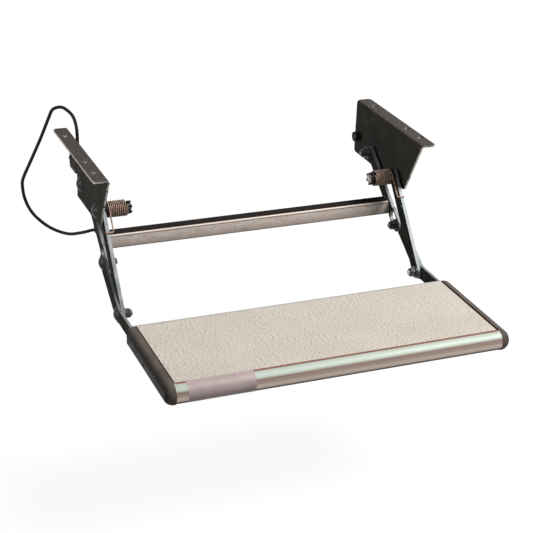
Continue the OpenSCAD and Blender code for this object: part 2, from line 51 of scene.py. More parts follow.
# Sizes shared with the part's source
REAR_PIVOT = Vector((0, 39, -62)) * MM
FRONT_PIVOT = Vector((0, -43.5, -71)) * MM
KNEE = Vector((0, -66, -142)) * MM
LOWER_PIVOT = Vector((0, -139.5, -188.5)) * MM
ARM_X0 = 227 * MM
ARM_X1 = 232 * MM
FRONT_ARM_W = 20 * MM
REAR_ARM_W = 17 * MM
BAR_CENTRE = Vector((0, -28.934, -123.816)) * MM
BAR_SIZE = 22 * MM
BUSH_R = 8 * MM
BOLT_D = 8 * MM
BOLT_END = 2 * MM
NUT_END = 217.2 * MM
REAR_NUT_END = 213.2 * MM
WIRE_D = 2.2 * MM
COIL_R = 10.9 * MM
COIL_X1 = 221.5 * MM
COIL_PITCH = 2.7 * MM
COIL_TURNS = 10
COIL_TAIL = 0.8 * WIRE_D
HOOK_REACH = 37 * MM
HOOK_SIDE = FRONT_ARM_W / 2 + WIRE_D / 2 + 0.4 * MM
HOOK_BEND = 1.2 * WIRE_D
NOSE = Vector((0, -374.5, -186)) * MM
NOSE_R = 14 * MM
TREAD_TOP = -172 * MM
MAT_X = 230 * MM
MAT_Y0 = -372.5 * MM
MAT_Y1 = -212 * MM
MAT_T = 2 * MM
CABLE_D = 5 * MM
CABLE_ROUTE = [
    (-227.5, 91, -23.68), (-227.5, 91, -21.18), (-227.5, 91, -18.68),
    (-227, 97, 3), (-228, 112, 16), (-235, 122, 24), (-243, 128, 27), (-254, 131, 23),
    (-261, 132, 8), (-273, 132, -20), (-290, 132, -56), (-300, 132, -77), (-303, 133, -91),
    (-299, 135, -117), (-286, 138, -144), (-261, 142, -170), (-232, 148, -187), (-209, 150, -189),
    (-193, 150, -187), (-190.5, 150, -187), (-188, 150, -187),
]

# Camera, at the photograph's viewing angle: azimuth, elevation and roll in degrees
CAMERA_TURNS = (-22.679, 24.901, 2.169)
CAMERA_PLACE = Vector((-727.0, -1843.7, 711.3)) * MM
FOCAL_PIXELS = 1425.87
PHOTO_PIXELS = 533
SENSOR = 36


def set_camera():
    azimuth, elevation, roll = (math.radians(turn) for turn in CAMERA_TURNS)
    level = math.cos(elevation)
    back = Vector((math.sin(azimuth) * level, -math.cos(azimuth) * level, math.sin(elevation)))
    flat_right = Vector((math.cos(azimuth), math.sin(azimuth), 0))
    flat_up = back.cross(flat_right)
    right = math.cos(roll) * flat_right + math.sin(roll) * flat_up
    up = math.cos(roll) * flat_up - math.sin(roll) * flat_right
    data = bpy.data.cameras.new("camera")
    data.sensor_width = SENSOR
    data.lens = SENSOR * FOCAL_PIXELS / PHOTO_PIXELS
    data.clip_start = 0.05
    data.clip_end = 50
    camera = bpy.data.objects.new("camera", data)
    scene.collection.objects.link(camera)
    axes = Matrix((right, up, back)).transposed().to_4x4()
    camera.matrix_world = Matrix.Translation(CAMERA_PLACE) @ axes
    scene.camera = camera


set_camera()


# Node trees, with the numbers of sockets whose names aren't unique on their node
MIX_SHARE = 0
MIX_FROM = 6
MIX_TO = 7
MIX_COLOUR = 2
COMPARE_A = 2
COMPARE_B = 3
SHADER_INPUTS = {"metallic": "Metallic", "roughness": "Roughness", "specular": "Specular IOR Level"}

# The usual spread of a noise's values
NOISE_LOW = 0.3
NOISE_HIGH = 0.7


class Graph:
    """A node tree with short calls for adding and joining nodes."""

    def __init__(self, tree):
        self.tree = tree

    def feed(self, socket, value):
        """Give a socket a value or another node's output."""
        if isinstance(value, bpy.types.NodeSocket):
            self.tree.links.new(value, socket)
        else:
            socket.default_value = value

    def add(self, kind, inputs=(), **settings):
        """A new node. Inputs come by index or by name, as values or as other nodes' output sockets."""
        made = self.tree.nodes.new(kind)
        for key, value in settings.items():
            setattr(made, key, value)
        for key, value in inputs.items() if isinstance(inputs, dict) else enumerate(inputs):
            self.feed(made.inputs[key], value)
        return made

    def math(self, operation, *values):
        return self.add("ShaderNodeMath", values, operation=operation).outputs[0]

    def product(self, a, b):
        return self.math("MULTIPLY", a, b)

    def absolute(self, value):
        return self.math("ABSOLUTE", value)

    def mixed(self, share, a, b):
        """Colour a to colour b by share."""
        made = self.add("ShaderNodeMix", {MIX_SHARE: share, MIX_FROM: a, MIX_TO: b}, data_type="RGBA")
        return made.outputs[MIX_COLOUR]

    def between(self, value, low, high, to_low=0.0, to_high=1.0, smooth=True):
        """A value's place between low and high, as a share or on another scale."""
        made = self.add("ShaderNodeMapRange", [value, low, high, to_low, to_high], clamp=True)
        made.interpolation_type = "SMOOTHSTEP" if smooth else "LINEAR"
        return made.outputs[0]

    def joined(self, *shapes):
        """Several shapes of a geometry tree as one."""
        made = self.add("GeometryNodeJoinGeometry")
        for shape in shapes:
            self.feed(made.inputs[0], shape)
        return made.outputs[0]


class Finish(Graph):
    """A material: a shader on object coordinates, with its place and its face direction at hand."""

    def __init__(self, name, **values):
        self.material = bpy.data.materials.new(name)
        self.material.use_nodes = True
        super().__init__(self.material.node_tree)
        self.tree.nodes.clear()
        self.shader = self.add("ShaderNodeBsdfPrincipled")
        self.add("ShaderNodeOutputMaterial", [self.shader.outputs[0]])
        place = self.add("ShaderNodeTexCoord")
        self.place = place.outputs["Object"]
        self.x, self.y, self.z = self.add("ShaderNodeSeparateXYZ", [self.place]).outputs
        facing = self.add("ShaderNodeSeparateXYZ", [place.outputs["Normal"]])
        self.facing_x, self.facing_y, self.facing_z = facing.outputs
        for key, value in values.items():
            self.put(SHADER_INPUTS[key], value)

    def put(self, name, value):
        self.feed(self.shader.inputs[name], value)

    def noise(self, size, detail=3.0, roughness=0.55, stretch=(1, 1, 1)):
        """Cloudy noise whose features are about size metres across, longer along stretch."""
        scale = [1 / (size * longer) for longer in stretch]
        scaled = self.add("ShaderNodeMapping", {"Vector": self.place, "Scale": scale})
        made = self.add("ShaderNodeTexNoise", {"Vector": scaled.outputs[0], "Scale": 1.0, "Detail": detail,
                                               "Roughness": roughness})
        return made.outputs[0]

    def toned(self, noise, dark, light):
        """A colour that goes from dark to light with a noise."""
        return self.mixed(self.between(noise, NOISE_LOW, NOISE_HIGH), dark, light)

    def rough(self, noise, low, high):
        """Roughness that goes from low to high with a noise."""
        self.put("Roughness", self.between(noise, NOISE_LOW, NOISE_HIGH, low, high))

    def bump(self, *layers):
        """Relief from pairs of (height, depth in metres)."""
        inputs = {"Strength": 1.0}
        for height, depth in layers:
            inputs |= {"Height": height, "Distance": depth}
            inputs["Normal"] = self.add("ShaderNodeBump", inputs).outputs[0]
        self.put("Normal", inputs["Normal"])


def colour(red, green, blue):
    """A colour given as it looks on a screen, 0 to 255."""
    shares = [value / 255 for value in (red, green, blue)]
    linear = [share / 12.92 if share <= 0.04045 else ((share + 0.055) / 1.055) ** 2.4 for share in shares]
    return (*linear, 1.0)


# Finishes, with the places where they change on a piece, from one to the other
FLANGE_RIM_X = (258.5 * MM, 258.8 * MM)
BELOW_FLANGE_Z = (-20 * MM, -30 * MM)
BOLT_TIP_X = (224 * MM, 219 * MM)
BAR_SHADE_Z = (BAR_CENTRE.z + 6 * MM, BAR_CENTRE.z - 11 * MM)
SEAM_LOW_Z = (BAR_CENTRE.z + 6.8 * MM, BAR_CENTRE.z + 7.4 * MM)
SEAM_HIGH_Z = (BAR_CENTRE.z + 9.2 * MM, BAR_CENTRE.z + 8.6 * MM)
NOSE_TINT_Y = (-355 * MM, -370 * MM)
NOSE_FRONT_Y = (-373.5 * MM, -375.5 * MM)
BAND_TOP_Z = (-177.4 * MM, -179.8 * MM)
BAND_SHADE_Z = (-182.8 * MM, -179.2 * MM)
BAND_PAINTED_BOUNCE_Z = (-182 * MM, -188.5 * MM)
NOSE_UNDER_SHADE_Z = (-190.5 * MM, -195 * MM)


def plate_paint():
    """Dark paint, brushed on the flanges' tops and lit there with painted light from above, with a painted
    highlight of bare metal along the sheared edges.
    """
    finish = Finish("plate_paint", specular=0.0)
    cloud = finish.noise(0.030)
    grain = finish.noise(0.0009, 2)
    speck = finish.noise(0.0035, 4, 0.7)
    paint = finish.mixed(finish.between(cloud, 0.35, 0.7), colour(60, 59, 56), colour(70, 68, 64))
    paint = finish.mixed(finish.between(speck, 0.60, 0.75, 0, 0.5), paint, colour(78, 73, 68))
    # Upward faces get a lighter brushed colour: brushed wear, and painted light from above.
    brushed = finish.noise(0.0014, 4, 0.7, (1, 3, 1))
    lit_brushed_top = finish.mixed(finish.between(brushed, 0.38, 0.66), colour(62, 58, 55), colour(116, 109, 104))
    paint = finish.mixed(finish.between(finish.facing_z, 0.7, 0.95), paint, lit_brushed_top)
    # Painted highlight: a bare-metal colour along the cut edges and the flanges' rims, broken up by a noise
    # like worn paint.
    ends = finish.between(finish.absolute(finish.facing_y), 0.3, 0.5)
    downward = finish.between(finish.facing_z, -0.5, -0.8)
    below = finish.product(downward, finish.between(finish.z, *BELOW_FLANGE_Z))
    rims = finish.product(finish.between(finish.absolute(finish.x), *FLANGE_RIM_X),
                          finish.between(finish.absolute(finish.facing_x), 0.5, 0.8))
    painted_cut_edge_highlight = finish.math("MAXIMUM", ends, finish.math("MAXIMUM", below, rims))
    painted_cut_edge_highlight = finish.product(painted_cut_edge_highlight, finish.between(finish.noise(0.006, 4), 0.30, 0.48))
    finish.put("Base Color", finish.mixed(painted_cut_edge_highlight, paint, colour(170, 163, 156)))
    finish.put("Metallic", finish.product(painted_cut_edge_highlight, 0.85))
    finish.put("Roughness", finish.between(painted_cut_edge_highlight, 0, 1, 0.27, 0.42))
    finish.bump((grain, 0.00006), (cloud, 0.00012))
    return finish.material


def arm_steel():
    """Dark flat steel with a painted highlight on the cut edges."""
    finish = Finish("arm_steel", specular=0.0)
    cloud = finish.noise(0.022)
    scratch = finish.noise(0.0006, 3, 0.6, (1, 14, 14))
    face = finish.mixed(finish.between(cloud, 0.35, 0.7), colour(48, 48, 45), colour(60, 60, 56))
    face = finish.mixed(finish.between(scratch, 0.62, 0.8, 0, 0.4), face, colour(84, 88, 92))
    # Painted highlight: the edges, which face away from X, get a lighter, more metallic colour than the
    # faces.
    painted_edge_highlight = finish.between(finish.absolute(finish.facing_x), 0.75, 0.45)
    bright = finish.toned(cloud, colour(118, 122, 124), colour(156, 159, 159))
    finish.put("Base Color", finish.mixed(painted_edge_highlight, face, bright))
    finish.put("Metallic", finish.between(painted_edge_highlight, 0, 1, 0.0, 0.35))
    finish.rough(cloud, 0.40, 0.52)
    finish.bump((scratch, 0.00003), (cloud, 0.0002))
    return finish.material


def bolt_steel(name, low, high):
    """Dark heads, and tips at the inner ends from a low to a high tone."""
    finish = Finish(name, specular=0.1)
    cloud = finish.noise(0.006)
    pit = finish.noise(0.0008, 3)
    head = finish.toned(cloud, colour(38, 39, 42), colour(56, 58, 62))
    tip = finish.between(finish.absolute(finish.x), *BOLT_TIP_X)
    finish.put("Base Color", finish.mixed(tip, head, finish.toned(cloud, low, high)))
    finish.put("Metallic", finish.between(tip, 0, 1, 0.1, 0.5))
    finish.rough(cloud, 0.20, 0.36)
    finish.bump((pit, 0.00004))
    return finish.material


def bolt_zinc():
    return bolt_steel("bolt_zinc", colour(160, 158, 156), colour(206, 202, 197))


# The same bolt steel with darker tips, for the rear pivot and knee bolts.
def bolt_dark_tips():
    return bolt_steel("bolt_dark_tips", colour(66, 66, 67), colour(112, 110, 108))


def nut_steel(name, low, high):
    """Pitted steel from a low to a high tone."""
    finish = Finish(name, metallic=0.2, specular=0.2)
    cloud = finish.noise(0.005)
    pit = finish.noise(0.0007, 3)
    finish.put("Base Color", finish.toned(cloud, low, high))
    finish.rough(cloud, 0.24, 0.40)
    finish.bump((pit, 0.00005))
    return finish.material


def nut_dark():
    return nut_steel("nut_dark", colour(58, 57, 57), colour(104, 102, 100))


# A lighter copy of the nut steel, as a painted glint on the front pivot nuts.
def nut_painted_glint():
    return nut_steel("nut_painted_glint", colour(120, 116, 112), colour(172, 168, 164))


def galvanised_steel():
    """Streaked, grainy zinc with a seam along the sides, painted shade towards the bottom, a painted
    highlight on the top corners and a top painted dark as a painted reflection.
    """
    finish = Finish("galvanised_steel", specular=0.0)
    cloud = finish.noise(0.014)
    grain = finish.noise(0.0028, 4)
    streak = finish.noise(0.004, 4, 0.65, (5, 1, 1))
    zinc = finish.toned(cloud, colour(234, 218, 206), colour(244, 230, 220))
    zinc = finish.mixed(finish.between(streak, 0.5, 0.72, 0, 0.5), zinc, colour(176, 156, 145))
    zinc = finish.mixed(finish.between(grain, 0.55, 0.70, 0, 0.6), zinc, colour(250, 240, 232))
    zinc = finish.mixed(finish.between(grain, 0.46, 0.30, 0, 0.6), zinc, colour(170, 150, 140))
    zinc = finish.mixed(finish.between(finish.z, *BAR_SHADE_Z, 0, 0.6), zinc, colour(140, 125, 116))
    seam = finish.product(finish.between(finish.z, *SEAM_LOW_Z), finish.between(finish.z, *SEAM_HIGH_Z))
    zinc = finish.mixed(finish.product(seam, 0.7), zinc, colour(128, 108, 98))
    # Painted highlight along the rounded top corners.
    corner = finish.product(finish.between(finish.facing_z, 0.35, 0.55),
                            finish.between(finish.facing_z, 0.9, 0.8))
    zinc = finish.mixed(corner, zinc, colour(242, 232, 221))
    top = finish.between(finish.facing_z, 0.80, 0.97)
    # Painted reflection: the top is painted dark, as it reflects dark surroundings.
    painted_dark_top = finish.product(top, finish.between(cloud, 0.1, 0.4, 0.7, 1.0))
    finish.put("Base Color", finish.mixed(painted_dark_top, zinc, colour(52, 46, 43)))
    finish.put("Metallic", finish.between(top, 0, 1, 0.06, 0.0))
    finish.rough(grain, 0.36, 0.5)
    finish.bump((grain, 0.00006), (cloud, 0.00015))
    return finish.material


def spring_bronze():
    """Bronze-coloured wire with painted shade between the turns."""
    finish = Finish("spring_bronze", metallic=0.03, roughness=0.30, specular=0.3)
    cloud = finish.noise(0.005)
    scratch = finish.noise(0.0005, 3)
    bronze = finish.toned(cloud, colour(158, 126, 110), colour(212, 178, 158))
    # Painted shade: the wire's sides, which face the next turn, are dark.
    sides = finish.between(finish.absolute(finish.facing_x), 0.35, 0.8)
    finish.put("Base Color", finish.mixed(sides, bronze, colour(54, 41, 35)))
    finish.bump((scratch, 0.00004))
    return finish.material


def tread_aluminium():
    """Drawn aluminium, tinted on top of the nose; below that a satin band painted as a reflection in
    pink-grey, with painted shade along its top, painted bounce light lower down, and painted shade on the
    underside.
    """
    finish = Finish("tread_aluminium", specular=0.1)
    line = finish.noise(0.0005, 3, 0.6, (120, 1, 1))
    cloud = finish.noise(0.05, 2)
    plain = finish.toned(line, colour(182, 181, 178), colour(194, 193, 190))
    tinted = finish.toned(line, colour(184, 193, 181), colour(194, 203, 191))
    bright = finish.mixed(finish.between(finish.y, *NOSE_TINT_Y), plain, tinted)
    # Painted shade on the underside, which is dark and less metallic.
    under = finish.between(finish.z, *NOSE_UNDER_SHADE_Z)
    # Painted reflection: the satin band below the nose's top is painted darker and pink-grey.
    painted_band = finish.toned(line, colour(164, 146, 134), colour(180, 162, 150))
    # Painted bounce light: the band gets lighter towards the bottom.
    painted_band = finish.mixed(finish.between(finish.z, *BAND_PAINTED_BOUNCE_Z), painted_band, colour(228, 208, 196))
    # Painted shade along the band's top edge.
    painted_band = finish.mixed(finish.between(finish.z, *BAND_SHADE_Z), painted_band, colour(158, 130, 120))
    painted_band = finish.mixed(under, painted_band, colour(88, 82, 78))
    satin_painted_band = finish.product(finish.between(finish.z, *BAND_TOP_Z), finish.between(finish.y, *NOSE_FRONT_Y))
    finish.put("Base Color", finish.mixed(satin_painted_band, bright, painted_band))
    shine = finish.between(finish.z, *BAND_PAINTED_BOUNCE_Z, 0.1, 0.36)
    finish.put("Metallic", finish.product(shine, finish.between(under, 0, 1, 1, 0.2)))
    uneven = finish.between(cloud, NOISE_LOW, NOISE_HIGH, 0, 0.05)
    finish.put("Roughness", finish.math("ADD", finish.between(satin_painted_band, 0, 1, 0.42, 0.5), uneven))
    finish.bump((line, 0.00003))
    return finish.material


def grip_beige():
    """Pebbled, gritty mat, with painted shade in the hollows."""
    finish = Finish("grip_beige", roughness=0.82)
    cloud = finish.noise(0.07)
    grit = finish.noise(0.0011, 4, 0.7)
    fleck = finish.noise(0.006, 4, 0.7)
    pebble = finish.noise(0.0042, 1, 0.5)
    body = finish.toned(cloud, colour(209, 200, 188), colour(214, 207, 195))
    # Painted shade in the pebbles' hollows: where the relief is low, the colour is darker.
    body = finish.mixed(finish.between(pebble, 0.52, 0.36, 0, 0.16), body, colour(186, 177, 165))
    body = finish.mixed(finish.between(grit, 0.45, 0.75, 0, 0.30), body, colour(190, 181, 167))
    body = finish.mixed(finish.between(fleck, 0.60, 0.8, 0, 0.20), body, colour(226, 221, 211))
    finish.put("Base Color", body)
    finish.bump((pebble, 0.0030), (grit, 0.0002))
    return finish.material


def strip_brown():
    finish = Finish("strip_brown", roughness=0.6)
    line = finish.noise(0.002, 3, 0.6, (20, 1, 1))
    finish.put("Base Color", finish.toned(line, colour(116, 74, 62), colour(146, 97, 83)))
    finish.bump((line, 0.0001))
    return finish.material


def cap_plastic():
    """Scuffed brown plastic with painted shade towards the outer side."""
    finish = Finish("cap_plastic", specular=0.03)
    grain = finish.noise(0.0007, 3)
    cloud = finish.noise(0.025)
    scuff = finish.noise(0.003, 4, 0.7, (1, 6, 1))
    body = finish.toned(cloud, colour(92, 83, 78), colour(108, 98, 92))
    # Painted shade: faces that turn towards the outer side darken.
    outer = finish.between(finish.absolute(finish.facing_x), 0.2, 0.95)
    body = finish.mixed(outer, body, colour(32, 30, 28))
    scuffed = finish.between(scuff, 0.66, 0.82, 0, 0.5)
    finish.put("Base Color", finish.mixed(scuffed, body, colour(112, 103, 98)))
    finish.rough(cloud, 0.36, 0.48)
    finish.bump((grain, 0.00012))
    return finish.material


def black_plastic():
    finish = Finish("black_plastic", specular=0.12)
    grain = finish.noise(0.0006, 3)
    cloud = finish.noise(0.012)
    finish.put("Base Color", finish.toned(cloud, colour(26, 25, 25), colour(40, 38, 37)))
    finish.rough(cloud, 0.38, 0.55)
    finish.bump((grain, 0.0001))
    return finish.material


def pale_plastic():
    finish = Finish("pale_plastic", roughness=0.42)
    cloud = finish.noise(0.004)
    finish.put("Base Color", finish.toned(cloud, colour(206, 202, 192), colour(224, 220, 210)))
    finish.bump((cloud, 0.0001))
    return finish.material


def black_rubber():
    finish = Finish("black_rubber", roughness=0.72, specular=0.12)
    cloud = finish.noise(0.006)
    grain = finish.noise(0.0009, 4)
    finish.put("Base Color", finish.toned(cloud, colour(24, 23, 22), colour(42, 40, 38)))
    finish.bump((grain, 0.0002))
    return finish.material


def cable_sheath():
    finish = Finish("cable_sheath", specular=0.12)
    cloud = finish.noise(0.01)
    grain = finish.noise(0.0008, 3)
    finish.put("Base Color", finish.toned(cloud, colour(18, 17, 17), colour(32, 30, 30)))
    finish.rough(cloud, 0.34, 0.5)
    finish.bump((grain, 0.00008))
    return finish.material


def label_film():
    finish = Finish("label_film", metallic=0.1, specular=0.15)
    line = finish.noise(0.0006, 3, 0.6, (40, 1, 1))
    cloud = finish.noise(0.02)
    finish.put("Base Color", finish.toned(cloud, colour(181, 163, 161), colour(189, 172, 170)))
    finish.rough(line, 0.42, 0.5)
    finish.bump((line, 0.00001))
    return finish.material


FINISHES = {
    make.__name__: make()
    for make in (
        plate_paint, arm_steel, bolt_zinc, bolt_dark_tips, nut_dark, nut_painted_glint, galvanised_steel, spring_bronze,
        tread_aluminium, grip_beige, strip_brown, cap_plastic, black_plastic, pale_plastic, black_rubber,
        cable_sheath, label_film,
    )
}

DRESSED = {
    "plate_paint": ["side_plate_left", "side_plate_right"],
    "arm_steel": ["front_arm_left", "front_arm_right", "rear_arm_left", "rear_arm_right",
                  "tread_bracket_left", "tread_bracket_right"],
    "bolt_zinc": ["front_pivot_bolts", "plate_washers", "buffer_screw", "switch_screws", "bracket_screws",
                  "lower_pivot_bolts"],
    "bolt_dark_tips": ["rear_pivot_bolts", "knee_bolts"],
    "nut_dark": ["rear_pivot_nuts", "knee_nuts", "lower_pivot_nuts", "rear_bushes"],
    "nut_painted_glint": ["front_pivot_nuts"],
    "galvanised_steel": ["cross_bar"],
    "spring_bronze": ["torsion_spring_left", "torsion_spring_right"],
    "tread_aluminium": ["tread_profile"],
    "grip_beige": ["grip_mat"],
    "strip_brown": ["nose_strip"],
    "cap_plastic": ["end_cap_left", "end_cap_right"],
    "black_plastic": ["spring_retainers", "spring_sleeves", "switch_housing", "cable_gland", "cable_plug"],
    "pale_plastic": ["switch_plunger"],
    "black_rubber": ["stop_buffer"],
    "cable_sheath": ["switch_cable"],
}
for finish_name, nodes in DRESSED.items():
    for node in nodes:
        cad[node].data.materials.clear()
        cad[node].data.materials.append(FINISHES[finish_name])


# Shapes made by node trees
def settle(piece):
    """Turn a piece and its modifiers into a plain mesh."""
    bpy.context.view_layer.update()
    shaped = piece.evaluated_get(bpy.context.evaluated_depsgraph_get())
    result = bpy.data.meshes.new_from_object(shaped)
    piece.modifiers.clear()
    piece.data = result
    result.name = piece.name
    return result


def grown(name, tree, base, **inputs):
    """A piece: base, a mesh, put through a geometry tree with these inputs, as a plain mesh at the origin."""
    piece = bpy.data.objects.new(name, base)
    scene.collection.objects.link(piece)
    modifier = piece.modifiers.new("shape", "NODES")
    modifier.node_group = tree
    for item in tree.interface.items_tree:
        if item.in_out == "INPUT" and item.name in inputs:
            modifier[item.identifier] = inputs[item.name]
    settle(piece)
    return piece


def shape_tree(name, **sockets):
    """A geometry tree with these inputs besides its base, its graph, and the sockets of its inputs."""
    tree = bpy.data.node_groups.new(name, "GeometryNodeTree")
    tree.interface.new_socket("Base", in_out="INPUT", socket_type="NodeSocketGeometry")
    for key, kind in sockets.items():
        tree.interface.new_socket(key, in_out="INPUT", socket_type="NodeSocket" + kind)
    tree.interface.new_socket("Mesh", in_out="OUTPUT", socket_type="NodeSocketGeometry")
    graph = Graph(tree)
    return tree, graph, graph.add("NodeGroupInput").outputs


def close_tree(graph, shape, finish):
    """The last nodes of a geometry tree: plain mesh, then its finish."""
    plain = graph.add("GeometryNodeRealizeInstances", [shape])
    painted = graph.add("GeometryNodeSetMaterial", {"Geometry": plain.outputs[0], "Material": finish})
    graph.add("NodeGroupOutput", [painted.outputs[0]])


def line_mesh(name, *lines, closed=False):
    """A mesh of lines through points; closed joins each line's ends."""
    mesh = bpy.data.meshes.new(name)
    points = []
    edges = []
    for line in lines:
        first = len(points)
        count = len(line)
        points += line
        edges += [(first + i, first + (i + 1) % count) for i in range(count if closed else count - 1)]
    mesh.from_pydata(points, edges, [])
    return mesh


def wire_tree():
    """A round wire along the base's line of points."""
    tree, graph, given = shape_tree("wire", Radius="Float", Sides="Int", Finish="Material")
    path = graph.add("GeometryNodeMeshToCurve", [given["Base"]])
    ring = graph.add("GeometryNodeCurvePrimitiveCircle",
                     {"Resolution": given["Sides"], "Radius": given["Radius"]})
    tube = graph.add("GeometryNodeCurveToMesh", {"Curve": path.outputs[0], "Profile Curve": ring.outputs[0],
                                                 "Fill Caps": True})
    smooth = graph.add("GeometryNodeSetShadeSmooth", [tube.outputs[0]])
    close_tree(graph, smooth.outputs[0], given["Finish"])
    return tree


WIRE = wire_tree()


def drop_tree():
    """A small drop on each of the base's points, as a weld leaves them."""
    tree, graph, given = shape_tree("drops", Radius="Float", Finish="Material")
    drop = graph.add("GeometryNodeMeshIcoSphere", {"Radius": given["Radius"], "Subdivisions": 2})
    smooth = graph.add("GeometryNodeSetShadeSmooth", [drop.outputs[0]])
    sown = graph.add("GeometryNodeInstanceOnPoints", {"Points": given["Base"], "Instance": smooth.outputs[0]})
    close_tree(graph, sown.outputs[0], given["Finish"])
    return tree


DROPS = drop_tree()


def film_tree():
    """A thin film: the base's line drawn along X, then thickened outwards."""
    tree, graph, given = shape_tree("film", Length="Float", Thickness="Float", Finish="Material")
    run = graph.add("ShaderNodeCombineXYZ", {"X": given["Length"]}).outputs[0]
    drawn = {"Mesh": given["Base"], "Offset": run, "Offset Scale": 1.0}
    sheet = graph.add("GeometryNodeExtrudeMesh", drawn, mode="EDGES").outputs[0]
    thickened = {"Mesh": sheet, "Offset Scale": given["Thickness"], "Individual": False}
    raised = graph.add("GeometryNodeExtrudeMesh", thickened, mode="FACES").outputs[0]
    under = graph.add("GeometryNodeFlipFaces", [sheet]).outputs[0]
    close_tree(graph, graph.joined(raised, under), given["Finish"])
    return tree


FILM = film_tree()


def mat_tree():
    """A mat: a fine grid whose every second point is lower, with side walls and an underside."""
    tree, graph, given = shape_tree("dimpled_mat", Length="Float", Width="Float", Columns="Int", Rows="Int",
                                    Relief="Float", Thickness="Float", Centre="Vector", Finish="Material")
    size = {"Size X": given["Length"], "Size Y": given["Width"]}
    fine = {"Vertices X": given["Columns"], "Vertices Y": given["Rows"]}
    coarse = {"Vertices X": 2, "Vertices Y": 2}

    grid = graph.add("GeometryNodeMeshGrid", {**size, **fine}).outputs[0]
    index = graph.add("GeometryNodeInputIndex").outputs[0]
    column = graph.math("FLOOR", graph.math("DIVIDE", index, given["Rows"]))
    row = graph.math("MODULO", index, given["Rows"])
    lower = graph.math("MODULO", graph.math("ADD", column, row), 2.0)
    sunk = graph.product(lower, graph.product(given["Relief"], -1.0))
    sink = graph.add("ShaderNodeCombineXYZ", {"Z": sunk}).outputs[0]
    top = graph.add("GeometryNodeSetPosition", {"Geometry": grid, "Offset": sink}).outputs[0]

    around = graph.add("GeometryNodeInputMeshEdgeNeighbors").outputs[0]
    one_face = {COMPARE_A: around, COMPARE_B: 1}
    rim = graph.add("FunctionNodeCompare", one_face, data_type="INT", operation="EQUAL").outputs[0]
    edges = {"Mesh": top, "Selection": rim, "Offset": (0, 0, 0), "Offset Scale": 1.0}
    walls = graph.add("GeometryNodeExtrudeMesh", edges, mode="EDGES")
    depth = graph.product(given["Thickness"], -1.0)
    place = graph.add("GeometryNodeInputPosition").outputs[0]
    where = graph.add("ShaderNodeSeparateXYZ", [place]).outputs
    foot = graph.add("ShaderNodeCombineXYZ", [where[0], where[1], depth]).outputs[0]
    lowered = {"Geometry": walls.outputs[0], "Selection": walls.outputs[1], "Position": foot}
    walled = graph.add("GeometryNodeSetPosition", lowered).outputs[0]

    sheet = graph.add("GeometryNodeMeshGrid", {**size, **coarse}).outputs[0]
    drop = graph.add("ShaderNodeCombineXYZ", {"Z": depth}).outputs[0]
    sheet = graph.add("GeometryNodeSetPosition", {"Geometry": sheet, "Offset": drop}).outputs[0]
    under = graph.add("GeometryNodeFlipFaces", [sheet]).outputs[0]

    whole = {"Geometry": graph.joined(walled, under), "Translation": given["Centre"]}
    placed = graph.add("GeometryNodeTransform", whole)
    close_tree(graph, placed.outputs[0], given["Finish"])
    return tree


MAT = mat_tree()

# Sides of the thin round wires
FINE_SIDES = 8


def add_piece(piece, body):
    """Let a piece ride on a body."""
    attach(piece, body)


def wire_piece(name, lines, radius, sides, body, slot, finish=None, closed=False):
    """A piece of round wire along lines, in its slot's finish unless another is named."""
    base = line_mesh(name + "_lines", *lines, closed=closed)
    piece = grown(name, WIRE, base, Radius=radius, Sides=sides, Finish=FINISHES[finish or slot])
    add_piece(piece, body)
    return piece


def round_axis(centre, radius, x, angle):
    """A point at x and at an angle round an axis along X."""
    return Vector((x, centre.y + radius * math.cos(angle), centre.z + radius * math.sin(angle)))


def circle(centre, radius, x, count=24):
    """Points all round an axis along X."""
    return [round_axis(centre, radius, x, math.tau * i / count) for i in range(count)]


def smooth_route(points, steps):
    """A smooth curve through points, as the part's source draws it, with steps from one point to the next."""
    last = len(points) - 1
    route = []
    for i in range(last):
        before = points[max(i - 1, 0)]
        start = points[i]
        end = points[i + 1]
        after = points[min(i + 2, last)]
        count = steps + 1 if i == last - 1 else steps
        for k in range(count):
            t = k / steps
            route.append(0.5 * (2 * start + (end - before) * t
                                + (2 * before - 5 * start + 4 * end - after) * t * t
                                + (3 * start - before - 3 * end + after) * t * t * t))
    return route


# The cable of the switch
CABLE_STEPS = 8
CABLE_SIDES = 20

route = smooth_route([Vector(p) * MM for p in CABLE_ROUTE], CABLE_STEPS)
cable = wire_piece("cable", [route], CABLE_D / 2, CABLE_SIDES, "mount_frame", "cable_sheath")
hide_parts("switch_cable")

# Torsion springs
SPRING_SIDES = 12
HOOK_STEP_DEGREES = 10
LEG_STEPS = 10
COIL_STEP_DEGREES = 12
TAIL_START = 0.6 * WIRE_D


